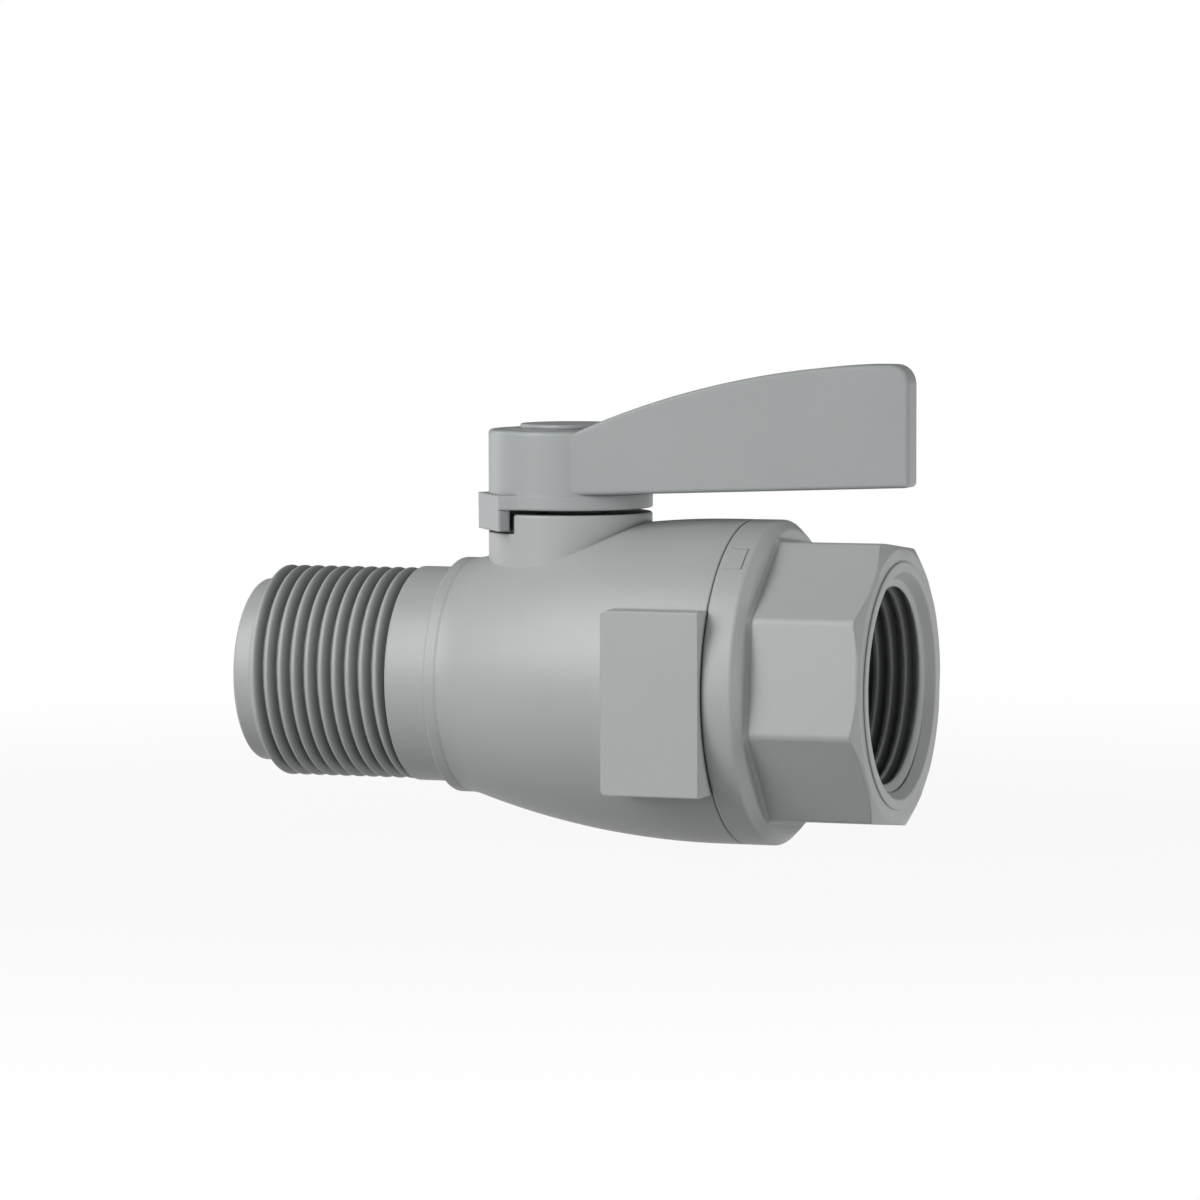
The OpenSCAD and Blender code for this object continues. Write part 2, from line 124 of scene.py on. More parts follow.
# %% Adding and cutting away parts of a moulding
def baked(piece):
    """Makes the modifiers of a piece part of its mesh."""
    depsgraph = bpy.context.evaluated_depsgraph_get()
    mesh = bpy.data.meshes.new_from_object(piece.evaluated_get(depsgraph))
    old = piece.data
    piece.modifiers.clear()
    piece.data = mesh
    bpy.data.meshes.remove(old)
    return piece


def combine(piece, parts):
    """Applies (operation, part) pairs in order, then deletes the parts."""
    for operation, part in parts:
        step = piece.modifiers.new(operation, "BOOLEAN")
        step.operation, step.solver, step.object = operation, "EXACT", part
    baked(piece)
    for _, part in parts:
        bpy.data.objects.remove(part)
    return piece


# %% [markdown]
# A material is a small tree of nodes. Built by hand, each node takes several lines, so one function
# adds any node and joins its inputs. A hex colour is sRGB, as a paint chart gives it, while light is
# reckoned in linear values, so each colour is turned to linear once, here.

# %% Colours and the one function that adds a node
def linear(colour):
    """A hex sRGB colour as the linear RGBA that colour sockets take."""
    channels = [int(colour[i:i + 2], 16) / 255 for i in (1, 3, 5)]
    return [c / 12.92 if c <= 0.04045 else ((c + 0.055) / 1.055) ** 2.4 for c in channels] + [1.0]


def add(tree, kind, inputs=None, **settings):
    """Adds a node. Each input is a value or another node's output, by socket name or number."""
    node = tree.nodes.new(kind)
    for name, value in settings.items():
        setattr(node, name, value)
    for key, value in (inputs or {}).items():
        if isinstance(value, bpy.types.NodeSocket):
            tree.links.new(value, node.inputs[key])
        else:
            node.inputs[key].default_value = value
    return node


def new_material(name):
    """A material with an empty tree, and that tree."""
    material = bpy.data.materials.new(name)
    material.use_nodes = True
    material.node_tree.nodes.clear()
    return material, material.node_tree


print("a middle grey in linear light:", round(linear("#808080")[0], 3))

# %% [markdown]
# The valve is injection moulded in grey PVC-U, a hard plastic with a satin surface. Its colour is a
# slightly cool mid grey. Light makes a soft, wide highlight on it, and a fine grain from the mould
# breaks that up. Moulded corners are never sharp: a small radius catches the light as a thin pale
# line. The Bevel node gives each corner a radius of 0.35 mm where the mesh is still sharp, also where
# two forms meet. Narrow grooves look dark, because little light reaches them, and shade is painted
# into the colour there as well: the Ambient Occlusion node finds how hemmed in each place is within
# 1.2 mm, and the colour darkens with it as painted shade. A picture of the plastic would show its
# pixels close by, and noise never does.

# %% Moulded plastic
def moulded_plastic(name, colour, shade, roughness, grain_mm, grain_height, corner_mm):
    """Moulded plastic: a faint cloudiness, a fine grain, painted shade in the grooves and a small corner
    radius.
    """
    material, tree = new_material(name)
    place = add(tree, "ShaderNodeTexCoord").outputs["Object"]
    cloud = add(tree, "ShaderNodeTexNoise", {"Vector": place, "Scale": 1 / (9 * MM), "Detail": 2.0})
    grain = add(tree, "ShaderNodeTexNoise", {"Vector": place, "Scale": 1 / (grain_mm * MM), "Detail": 3.0})
    tone = add(tree, "ShaderNodeMath", {0: grain.outputs["Fac"], 1: 0.4}, operation="MULTIPLY")
    both = add(tree, "ShaderNodeMath", {0: cloud.outputs["Fac"], 1: 0.6, 2: tone.outputs[0]},
               operation="MULTIPLY_ADD")
    base = add(tree, "ShaderNodeMix", {"Factor": both.outputs[0], 6: linear(shade), 7: linear(colour)},
               data_type="RGBA")
    # painted shade: the base colour is darkened where the surface is hemmed in, in grooves, creases and
    # corners
    openness = add(tree, "ShaderNodeAmbientOcclusion", {"Distance": 1.2 * MM}, samples=6)
    painted_shade_factor = add(tree, "ShaderNodeMapRange", {"Value": openness.outputs["AO"], "From Min": 0.1,
                                                  "From Max": 0.8, "To Min": 0.3})
    base_with_painted_shade = add(tree, "ShaderNodeVectorMath", {0: base.outputs[2], "Scale": painted_shade_factor.outputs[0]},
                 operation="SCALE")
    rough = add(tree, "ShaderNodeMapRange", {"Value": grain.outputs["Fac"], "To Min": roughness - 0.05,
                                             "To Max": roughness + 0.05})
    corner = add(tree, "ShaderNodeBevel", {"Radius": corner_mm * MM}, samples=6)
    bump = add(tree, "ShaderNodeBump", {"Height": grain.outputs["Fac"], "Distance": grain_height * MM,
                                        "Normal": corner.outputs["Normal"]})
    surface = add(tree, "ShaderNodeBsdfPrincipled", {
        "Base Color": base_with_painted_shade.outputs[0], "Roughness": rough.outputs[0], "Normal": bump.outputs["Normal"],
        "IOR": 1.54})
    add(tree, "ShaderNodeOutputMaterial", {"Surface": surface.outputs[0]})
    return material


# after the name: colour, its darker shade, roughness, then grain size, grain height and corner radius in mm
# grey PVC-U: satin from a lightly textured mould; the lever's mould is the same
moulded_pvc = moulded_plastic("moulded_grey_pvc", "#A7AAA9", "#9DA1A0", 0.41, 0.35, 0.014, 0.35)
moulded_lever_pvc = moulded_plastic("moulded_grey_pvc_lever", "#9FA3A3", "#969A9A", 0.38, 0.35, 0.012, 0.35)
# the ball is turned after moulding, so it is smoother and a little darker
ball_pvc = moulded_plastic("turned_grey_pvc", "#8E9596", "#868C8D", 0.28, 0.6, 0.0006, 0.2)
# the stem is glass-filled polypropylene: dark grey, with a drier surface
stem_plastic = moulded_plastic("glass_filled_polypropylene", "#6E7374", "#63686A", 0.5, 0.4, 0.01, 0.15)
# PTFE seats: waxy, white and quite smooth
seat_ptfe = moulded_plastic("turned_ptfe", "#ECECE6", "#E2E2DA", 0.34, 1.5, 0.004, 0.12)
# EPDM rubber: nearly black and dull
seal_rubber = moulded_plastic("epdm_rubber", "#1E1F20", "#17181A", 0.62, 0.6, 0.01, 0.05)
print("plastics and rubber:", [m.name for m in bpy.data.materials if "_" in m.name])

# %% [markdown]
# The lever's screw and its washer are stainless steel. The screw is cold headed and polished by
# tumbling, which leaves it bright with a slight blur. Steel keeps the default IOR, because a metal's
# reflection is set by its colour. A small noise in the roughness stands for the faint marks.

# %% Stainless steel
def turned_steel(name, colour, roughness):
    """Bright steel with faint marks from tumbling, about 0.3 mm across."""
    material, tree = new_material(name)
    place = add(tree, "ShaderNodeTexCoord").outputs["Object"]
    marks = add(tree, "ShaderNodeTexNoise", {"Vector": place, "Scale": 1 / (0.3 * MM), "Detail": 2.0})
    rough = add(tree, "ShaderNodeMapRange", {"Value": marks.outputs["Fac"], "To Min": roughness - 0.06,
                                             "To Max": roughness + 0.06})
    corner = add(tree, "ShaderNodeBevel", {"Radius": 0.1 * MM}, samples=6)
    surface = add(tree, "ShaderNodeBsdfPrincipled", {
        "Base Color": linear(colour), "Metallic": 1.0, "Roughness": rough.outputs[0],
        "Normal": corner.outputs["Normal"]})
    add(tree, "ShaderNodeOutputMaterial", {"Surface": surface.outputs[0]})
    return material


stainless = turned_steel("stainless_steel", "#C9CACB", 0.3)
print("metal:", stainless.name)

# %% [markdown]
# A pipe thread is a ridge that winds round a cylinder, here 14 turns to the inch, with the round
# crests and narrow roots that the photograph shows. Modelling one turn and repeating it would leave
# joins. A rule is simpler: on a tube-shaped grid, the radius at each point follows from its place
# along the axis and its angle. The height follows a cosine without its sign, which is round at the
# top and sharp at the bottom. Geometry Nodes apply that rule, with the sizes as inputs, so one tree
# makes the male thread, the female one, the connector's fixing thread and the screw's. The grid runs
# along the threaded face and back along a plain wall inside the plastic, so the result is a closed
# tube.

# %% The tree that winds a thread
root_width = 0.05  # 0 makes the roots sharp, 1 makes them as round as the crests


def thread_tree():
    """Geometry Nodes: a closed tube whose outer or inner face carries a helical thread."""
    tree = bpy.data.node_groups.new("wound thread", "GeometryNodeTree")
    tree.interface.new_socket(name="Geometry", in_out="INPUT", socket_type="NodeSocketGeometry")
    for name in ("Start", "End", "Pitch", "Crest radius", "Depth", "Wall radius", "First crest",
                 "Start radius", "Start blend", "End radius", "End blend"):
        tree.interface.new_socket(name=name, in_out="INPUT", socket_type="NodeSocketFloat")
    for name in ("Rows", "Steps round"):
        tree.interface.new_socket(name=name, in_out="INPUT", socket_type="NodeSocketInt")
    tree.interface.new_socket(name="Material", in_out="INPUT", socket_type="NodeSocketMaterial")
    tree.interface.new_socket(name="Geometry", in_out="OUTPUT", socket_type="NodeSocketGeometry")
    size = tree.nodes.new("NodeGroupInput").outputs
    out = tree.nodes.new("NodeGroupOutput")

    grid = add(tree, "GeometryNodeMeshGrid", {"Size X": 1.0, "Size Y": 1.0, "Vertices X": size["Rows"],
                                              "Vertices Y": size["Steps round"]})
    flat = add(tree, "ShaderNodeSeparateXYZ", {0: add(tree, "GeometryNodeInputPosition").outputs[0]})
    last = add(tree, "ShaderNodeMath", {0: size["Rows"], 1: 1.0}, operation="SUBTRACT").outputs[0]
    along = add(tree, "ShaderNodeMath", {0: flat.outputs["X"], 1: 0.5}, operation="ADD").outputs[0]
    row = add(tree, "ShaderNodeMath", {0: along, 1: last}, operation="MULTIPLY").outputs[0]
    turn = add(tree, "ShaderNodeMath", {0: flat.outputs["Y"], 1: 0.5}, operation="ADD").outputs[0]

    # rows 1 to last - 2 lie on the thread; row 0, the last but one and the last lie on the wall
    thread_last = add(tree, "ShaderNodeMath", {0: last, 1: 2.0}, operation="SUBTRACT").outputs[0]
    share = add(tree, "ShaderNodeMapRange", {"Value": row, "From Min": 1.0,
                                             "From Max": thread_last}).outputs[0]
    on_way_back = add(tree, "ShaderNodeMath", {0: row, 1: add(tree, "ShaderNodeMath", {
        0: last, 1: 0.5}, operation="SUBTRACT").outputs[0]}, operation="GREATER_THAN").outputs[0]
    past_thread = add(tree, "ShaderNodeMath", {0: row, 1: add(tree, "ShaderNodeMath", {
        0: last, 1: 1.5}, operation="SUBTRACT").outputs[0]}, operation="GREATER_THAN").outputs[0]
    before_thread = add(tree, "ShaderNodeMath", {0: row, 1: 0.5}, operation="LESS_THAN").outputs[0]
    on_wall = add(tree, "ShaderNodeMath", {0: past_thread, 1: before_thread},
                  operation="MAXIMUM").outputs[0]
    station = add(tree, "ShaderNodeMapRange", {"Value": share, "To Min": size["Start"],
                                               "To Max": size["End"]}).outputs[0]
    x = add(tree, "ShaderNodeMix", {"Factor": on_way_back, 2: station, 3: size["Start"]}).outputs[0]

    # the ridge: a wave along the axis that moves on by one pitch in each turn
    offset = add(tree, "ShaderNodeMath", {0: x, 1: size["First crest"]}, operation="SUBTRACT").outputs[0]
    turns = add(tree, "ShaderNodeMath", {0: offset, 1: size["Pitch"]}, operation="DIVIDE").outputs[0]
    phase = add(tree, "ShaderNodeMath", {0: turns, 1: turn}, operation="SUBTRACT").outputs[0]
    angle = add(tree, "ShaderNodeMath", {0: phase, 1: math.pi}, operation="MULTIPLY").outputs[0]
    wave = add(tree, "ShaderNodeMath", {0: angle}, operation="COSINE").outputs[0]
    squared = add(tree, "ShaderNodeMath", {0: wave, 1: wave, 2: root_width ** 2},
                  operation="MULTIPLY_ADD").outputs[0]
    hump = add(tree, "ShaderNodeMath", {0: squared}, operation="SQRT").outputs[0]
    sunk = add(tree, "ShaderNodeMapRange", {"Value": hump, "From Min": math.hypot(1, root_width),
                                            "From Max": root_width}).outputs[0]
    cut = add(tree, "ShaderNodeMath", {0: sunk, 1: size["Depth"]}, operation="MULTIPLY").outputs[0]
    ridge = add(tree, "ShaderNodeMath", {0: size["Crest radius"], 1: cut}, operation="SUBTRACT").outputs[0]

    # both ends run into a plain radius
    from_start = add(tree, "ShaderNodeMath", {0: x, 1: size["Start"]}, operation="SUBTRACT").outputs[0]
    to_end = add(tree, "ShaderNodeMath", {0: size["End"], 1: x}, operation="SUBTRACT").outputs[0]
    begun = add(tree, "ShaderNodeMapRange", {"Value": from_start, "From Max": size["Start blend"]},
                interpolation_type="SMOOTHSTEP").outputs[0]
    left = add(tree, "ShaderNodeMapRange", {"Value": to_end, "From Max": size["End blend"]},
               interpolation_type="SMOOTHSTEP").outputs[0]
    started = add(tree, "ShaderNodeMix", {"Factor": begun, 2: size["Start radius"], 3: ridge}).outputs[0]
    ended = add(tree, "ShaderNodeMix", {"Factor": left, 2: size["End radius"], 3: started}).outputs[0]
    radius = add(tree, "ShaderNodeMix", {"Factor": on_wall, 2: ended, 3: size["Wall radius"]}).outputs[0]

    round_angle = add(tree, "ShaderNodeMath", {0: turn, 1: 2 * math.pi}, operation="MULTIPLY").outputs[0]
    cosine = add(tree, "ShaderNodeMath", {0: round_angle}, operation="COSINE").outputs[0]
    sine = add(tree, "ShaderNodeMath", {0: round_angle}, operation="SINE").outputs[0]
    y = add(tree, "ShaderNodeMath", {0: radius, 1: cosine}, operation="MULTIPLY").outputs[0]
    z = add(tree, "ShaderNodeMath", {0: radius, 1: sine}, operation="MULTIPLY").outputs[0]
    point = add(tree, "ShaderNodeCombineXYZ", {"X": x, "Y": y, "Z": z}).outputs[0]
    placed = add(tree, "GeometryNodeSetPosition", {"Geometry": grid.outputs["Mesh"], "Position": point})
    closed = add(tree, "GeometryNodeMergeByDistance", {"Geometry": placed.outputs[0], "Distance": 1e-6})
    real = add(tree, "GeometryNodeRealizeInstances", {"Geometry": closed.outputs[0]})
    finish = add(tree, "GeometryNodeSetMaterial", {"Geometry": real.outputs[0],
                                                   "Material": size["Material"]})
    tree.links.new(finish.outputs[0], out.inputs[0])
    return tree


wound_thread = thread_tree()
print("the thread tree has", len(wound_thread.nodes), "nodes")

# %% [markdown]
# Each thread is an object with that tree as its modifier. The inputs are set by their identifiers,
# because an input's name may be used twice. The result becomes a plain mesh at once, so that it can be
# joined to its piece and turn with it.

# %% Winding one thread
def thread(name, rows, steps, material, **sizes):
    """A threaded tube along X. Its sizes are in millimetres, under the tree's own input names."""
    carrier = bpy.data.objects.new(name, bpy.data.meshes.new(name))
    bpy.context.scene.collection.objects.link(carrier)
    wind = carrier.modifiers.new("thread", "NODES")
    wind.node_group = wound_thread
    values = {key.replace("_", " ").capitalize(): value * MM for key, value in sizes.items()}
    values.update({"Rows": rows, "Steps round": steps + 1, "Material": material})
    for socket in wound_thread.interface.items_tree:
        if socket.in_out == "INPUT" and socket.name in values:
            wind[socket.identifier] = values[socket.name]
    baked(carrier)
    made = bmesh.new()
    made.from_mesh(carrier.data)
    bmesh.ops.recalc_face_normals(made, faces=made.faces)
    made.to_mesh(carrier.data)
    made.free()
    return carrier


print("a thread has", len(wound_thread.interface.items_tree) - 1, "inputs")

# %% [markdown]
# Each finished piece rides on its CAD body, stands for its CAD node, and gets the material it is
# given. Faces are shaded smooth up to 30 degrees, so round walls look round and corners stay corners
# for the Bevel node to soften.

# %% Joining shells and handing a piece over to the frame
def finished(piece, shells, material, body, nodes):
    """Joins closed shells to a piece, shades it, gives it its material, and puts it on its CAD body."""
    made = bmesh.new()
    made.from_mesh(piece.data)
    for shell in shells:
        made.from_mesh(shell.data)
    made.to_mesh(piece.data)
    made.free()
    for shell in shells:
        bpy.data.objects.remove(shell)
    piece.data.materials.clear()
    piece.data.materials.append(material)
    for face in piece.data.polygons:
        face.material_index = 0
        face.use_smooth = True
    piece.data.set_sharp_from_angle(angle=math.radians(30))
    even = piece.modifiers.new("flat faces stay flat", "WEIGHTED_NORMAL")
    even.keep_sharp, even.weight = True, 100
    baked(piece)
    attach(piece, body)
    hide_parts(*nodes)
    print(piece.name, "has", sum(len(p.vertices) - 2 for p in piece.data.polygons), "triangles")
    return piece


# %% [markdown]
# The sizes come from the CAD part, in millimetres. X is the flow axis, from the male thread to the
# female one, and Z is the stem axis, upwards. The script can't read the CAD source, so the sizes that
# the detailed pieces need are written again, each in the cell that first needs it, and most keep
# their names. Those of the threads, the socket's mouth and the stop tab follow the photograph more
# closely than the plain solids do. These first ones belong to several pieces.

# %% Sizes that several pieces share
bore_r, body_r, stem_x, seam_x = 8.0, 20.0, 37.8, 61.6
pocket_end, seat_bore_r, stem_bore_r = 14.2, 11.85, 4.55
seal_bore_r, fixing_x, fixing_r = 14.96, 54.6, 16.5
lug_dir, thread_pitch, thread_depth = 216.0, 1.814, 1.3
print("the stem's axis is", stem_x, "mm from where the male thread starts, and the seam", seam_x, "mm")

# %% [markdown]
# The body is one moulding. Its outside is turned: pilot, shank, a narrow flat ring, and a belly that
# swells on a long arc to the seam. A pad on each side lets a wrench hold it, and the neck stands up
# round the stem. A smooth cage could give such a form too, but its sizes would drift, so an outline
# with exact stations is turned. The belly's arc is 24 short steps of it.

# %% The body's outside
pilot_r, pilot_len, male_r, male_len = 11.45, 3.0, 13.22, 17.9
shank_r, collar_x, collar_r, belly_x, belly_arc_r, belly_arc_x = 13.4, 23.7, 14.65, 25.3, 100.0, 58.5
neck_r, neck_top, pad_out, pad_x, pad_low, pad_high = 10.15, 20.6, 20.7, 49.1, -12.5, 9.9
shank_x = male_len + 0.2
stations = [belly_x + (belly_arc_x - belly_x) * k / 24 for k in range(25)]
belly = [(x, body_r - belly_arc_r + math.sqrt(belly_arc_r ** 2 - (belly_arc_x - x) ** 2)) for x in stations]
barrel = rounded([
    (-pilot_len, 0), (-pilot_len, pilot_r, 0.35), (shank_x, pilot_r), (shank_x, shank_r - 0.15),
    (shank_x + 0.15, shank_r), (collar_x, shank_r), (collar_x, collar_r, 0.2),
    (belly_x - 0.15, collar_r, 0.1), (belly_x, collar_r - 0.06, 0.1), belly[1]
]) + belly[2:] + rounded([
    (seam_x - 0.3, body_r), (seam_x, body_r, 0.22), (seam_x, body_r - 1), (seam_x, 0)])
body = turned("body_moulding", barrel[:-1] + [(seam_x, 0)])

pad_in = body_r - 6
pad_outline = rounded([
    (pad_x, pad_low, 0.6), (seam_x, pad_low), (seam_x, pad_high), (pad_x, pad_high, 0.6)])
pads = []
for low, high in ((pad_in, pad_out), (-pad_out, -pad_in)):
    pad = prism("pad", pad_outline, low, high)
    pad.data.transform(Matrix.Rotation(math.radians(90), 4, "X"))
    pads.append(("UNION", pad))

neck = turned("neck", rounded([(2, 0), (2, neck_r), (neck_top, neck_r, 0.3), (neck_top, 0)]), "z", stem_x)
print("the barrel's outline has", len(barrel), "points")

# %% [markdown]
# Inside, the bore has a seat, a round chamber for the ball, and a wider socket that the end connector
# screws into. A notch in the neck's rim stops the lever at both ends of its quarter turn. Each hollow
# is a closed shape that is cut away. The thread could be joined by a boolean as well, but so fine a
# helix is slow to join, so it stays a closed shell of its own, sunk a little into the plain pilot.

# %% The body's bore, notch and thread
chamber_x, chamber_cone_x, chamber_r, seal_x = 28.9, 31.9, 13.4, 50.2
flange_bore_r, flange_bore_top = 6.9, 15.25
notch_z, notch_in_r, notch_half = 18.2, 8.95, 5.2
waterway = turned("waterway", [
    (-pilot_len - 1, 0), (-pilot_len - 1, bore_r + 0.5), (-pilot_len, bore_r + 0.5),
    (-pilot_len + 0.5, bore_r), (stem_x - pocket_end, bore_r), (stem_x - pocket_end, seat_bore_r),
    (chamber_x, seat_bore_r), (chamber_cone_x, chamber_r), (seal_x, chamber_r), (seal_x, seal_bore_r),
    (fixing_x, seal_bore_r), (fixing_x, fixing_r + 0.05), (seam_x + 1, fixing_r + 0.05), (seam_x + 1, 0)])
stem_bore = turned("stem bore", [
    (0, 0), (0, flange_bore_r), (flange_bore_top, flange_bore_r), (flange_bore_top, stem_bore_r),
    (neck_top + 1.4, stem_bore_r), (neck_top + 1.4, 0)], "z", stem_x, 128)


def notch_outline():
    """The quarter of the rim that the lug's tab swings through, seen from above."""
    outside = 14.0
    closed, opened = math.radians(lug_dir - 90), math.radians(lug_dir)
    inner = math.asin(notch_half / notch_in_r)
    turns = [closed - inner + (opened - closed + 2 * inner) * k / 48 for k in range(49)]
    points = [(notch_in_r * math.cos(t), notch_in_r * math.sin(t)) for t in turns]
    side_opened = Vector((-math.sin(opened), math.cos(opened))) * notch_half
    side_closed = Vector((math.sin(closed), -math.cos(closed))) * notch_half
    end_opened = Vector((math.cos(opened), math.sin(opened))) * outside
    end_closed = Vector((math.cos(closed), math.sin(closed))) * outside
    points += [end_opened + side_opened, end_opened, end_opened + end_closed, end_closed,
               end_closed + side_closed]
    return [(stem_x + x, y) for x, y in points]


notch = prism("notch", notch_outline(), notch_z, neck_top + 1)
combine(body, pads + [("UNION", neck), ("DIFFERENCE", waterway), ("DIFFERENCE", stem_bore),
                      ("DIFFERENCE", notch)])
male_thread = thread("male thread", 290, 160, moulded_pvc, start=-0.8, end=shank_x + 0.3,
                     pitch=thread_pitch, crest_radius=male_r, depth=thread_depth, wall_radius=bore_r + 3,
                     first_crest=-0.46, start_radius=pilot_r - 0.05, start_blend=0.8,
                     end_radius=male_r, end_blend=0.5)
finished(body, [male_thread], moulded_pvc, "valve_body", ["body"])

# %% [markdown]
# The end connector is the second moulding of the housing. A flange ring with a bevelled edge closes
# the body at the seam, and an octagon for the wrench stands on it, with a small bevel round its foot.
# The octagon's corners are cut by a cone. Drawing those curved cuts by hand would be hard, so a turned
# envelope is intersected with an eight-sided block, which gives them exactly. The nose that reaches
# into the body has a groove for its rubber ring. The flange ring carries a bare rectangular patch,
# 0.1 mm high.

# %% The end connector's outside
flange_end_x, flange_bevel, octagon_x, end_x = 65.3, 1.1, 66.4, 80.55
octagon_af, octagon_turn, foot_bevel = 34.0, 6.2, 0.5
groove_x, groove_end_x, groove_r, nose_x, nose_r = 50.8, 52.96, 13.1, 47.2, 13.3
corner_r = octagon_af / 2 / math.cos(math.radians(22.5))


def with_soft_edges(piece, width, angle):
    """Rounds the edges of a plain part that are sharper than an angle, before it is joined to others."""
    edge = piece.modifiers.new("soft edges", "BEVEL")
    edge.width, edge.segments, edge.limit_method = width * MM, 3, "ANGLE"
    edge.angle_limit = math.radians(angle)
    return baked(piece)


def octagon(name, start, end, across, across_end, soft=0.5):
    """An eight-sided block along X, turned as the real one is, with its widths across flats."""
    ring = [math.radians(45 * k + 22.5 - octagon_turn) for k in range(8)]
    vertices = []
    for x, width in ((start, across), (end, across_end)):
        corner = width / 2 / math.cos(math.radians(22.5))
        vertices += [(x, corner * math.cos(t), corner * math.sin(t)) for t in ring]
    faces = [tuple(range(8)), tuple(range(8, 16))] + [
        (k, (k + 1) % 8, 8 + (k + 1) % 8, 8 + k) for k in range(8)]
    return with_soft_edges(mesh_object(name, vertices, faces), soft, 30)


fixing_root_r = fixing_r - 0.5
connector = turned("end_connector_moulding", rounded([
    (nose_x, 0), (nose_x, nose_r, 0.3), (groove_x, nose_r), (groove_x, groove_r), (groove_end_x, groove_r),
    (groove_end_x, seal_bore_r - 0.05), (fixing_x + 0.3, seal_bore_r - 0.05),
    (fixing_x + 0.3, fixing_root_r), (seam_x, fixing_root_r), (seam_x, body_r, 0.3),
    (flange_end_x, body_r, 0.5), (octagon_x, body_r - flange_bevel, 0.5), (octagon_x, 0)]))
envelope = turned("envelope", rounded([
    (flange_end_x, 0), (flange_end_x, corner_r + 0.5), (end_x - 1, corner_r + 0.1, 0.2),
    (end_x, octagon_af / 2 - 0.3, 0.25), (end_x, 0)]))
block = combine(octagon("block", flange_end_x, end_x, octagon_af, octagon_af), [("INTERSECT", envelope)])
foot = octagon("foot", octagon_x - 0.5, octagon_x + foot_bevel, octagon_af + 4 * foot_bevel, octagon_af,
               0.3)
patch_turns = [math.radians(a) for a in (47.5, 50, 52.5, 55, 58)]
patch_outline = [(body_r - 0.5, t) for t in patch_turns] + [(body_r + 0.1, t) for t in patch_turns[::-1]]
patch = prism("patch", [(-r * math.cos(t), r * math.sin(t)) for r, t in patch_outline], seam_x + 0.7,
              seam_x + 3)
patch.data.transform(Matrix(((0, 0, 1, 0), (1, 0, 0, 0), (0, 1, 0, 0), (0, 0, 0, 1))))
print("the octagon is", octagon_af, "mm across its flats and", round(2 * corner_r, 1), "across its corners")

# %% [markdown]
# The female thread begins 1.1 mm inside the end face, behind a short cone that leads the pipe in, and
# a slightly raised ring on the face seals against what is screwed in. As on the body, the thread is a
# shell of its own, sunk into the wall of a plain socket. Another thread, outside, holds the connector
# in the body. It is finer, and since no view shows it, fewer steps are enough.

# %% The end connector's mouth and threads
female_x, female_end_x, female_r, socket_r = 64.3, 79.7, 12.06, 13.4
mouth_in_r, mouth_r, lip_r, face_x = 13.0, 13.9, 15.15, end_x + 0.25
lip = turned("lip", rounded([(end_x - 0.2, female_r), (end_x - 0.2, lip_r), (face_x, lip_r, 0.12),
                             (face_x, female_r)]))
socket = turned("socket", [
    (nose_x - 1, 0), (nose_x - 1, seat_bore_r), (stem_x + pocket_end, seat_bore_r),
    (stem_x + pocket_end, bore_r), (female_x - 3, bore_r), (female_x, socket_r),
    (female_end_x - 0.02, socket_r), (female_end_x - 0.02, mouth_in_r), (face_x, mouth_r),
    (face_x + 1, mouth_r + 0.8), (face_x + 1, 0)])
combine(connector, [("UNION", block), ("UNION", foot), ("UNION", lip), ("UNION", patch),
                    ("DIFFERENCE", socket)])
female_thread = thread("female thread", 260, 160, moulded_pvc, start=female_x - 0.3, end=female_end_x,
                       pitch=thread_pitch, crest_radius=female_r, depth=-thread_depth,
                       wall_radius=socket_r + 0.3, first_crest=female_x + 0.3, start_radius=female_r,
                       start_blend=0.6, end_radius=mouth_in_r + 0.02, end_blend=0.25)
fixing_thread = thread("fixing thread", 90, 128, moulded_pvc, start=fixing_x + 0.3, end=seam_x - 0.4,
                       pitch=1.5, crest_radius=fixing_r, depth=0.42, wall_radius=fixing_root_r - 0.4,
                       first_crest=fixing_x + 1, start_radius=fixing_root_r, start_blend=0.6,
                       end_radius=fixing_root_r + 0.05, end_blend=0.5)
finished(connector, [female_thread, fixing_thread], moulded_pvc, "valve_body",
         ["end_connector"])

# %% [markdown]
# The lever is one moulding. Its blade grows from the hub's side and rises in a long arc. From above,
# its sides leave the hub as tangents and close in to the tip. A side view pulled straight would have
# one thickness, so the view gets its thickness point by point, which keeps both sides flat. Its edges
# are rounded before it is joined.

# %% The lever's blade
hub_z, hub_r = 22.95, 10.15


def arc(centre_x, centre_y, radius, start, end, steps):
    """Points on an arc, with angles in degrees."""
    turn = [math.radians(start + (end - start) * k / steps) for k in range(steps + 1)]
    return [(centre_x + radius * math.cos(t), centre_y + radius * math.sin(t)) for t in turn]


reach, tip_half, top_r, top_x, top_z, low_hub, low_tip = 44.3, 1.8, 95.0, 43.0, 16.25, 0.05, 1.25
taper = math.asin(hub_r / math.hypot(reach, tip_half)) - math.atan2(tip_half, reach)
foot_x, foot_y = (hub_r - 0.15) * math.sin(taper), (hub_r - 0.15) * math.cos(taper)
start_angle = math.degrees(math.acos((foot_x - top_x) / top_r))
crest = arc(top_x, top_z - top_r, top_r, start_angle, 92.2, 40)
tip = rounded([(foot_x, low_hub), (reach, low_tip, 0.6), (reach, crest[-1][1] + 0.02, 2.4), crest[-1],
               crest[0]], 6)
side_view = tip[:-1] + crest[::-1][1:]
vertices = []
for side in (-1, 1):
    for x, z in side_view:
        half = foot_y + (tip_half - foot_y) * (x - foot_x) / (reach - foot_x)
        vertices.append((stem_x + x, side * half, hub_z + z))
count = len(side_view)
faces = [tuple(range(count)), tuple(range(count, 2 * count))] + [
    (k, (k + 1) % count, count + (k + 1) % count, count + k) for k in range(count)]
blade = with_soft_edges(mesh_object("blade", vertices, faces), 0.45, 50)
print("the blade's side view has", count, "points")

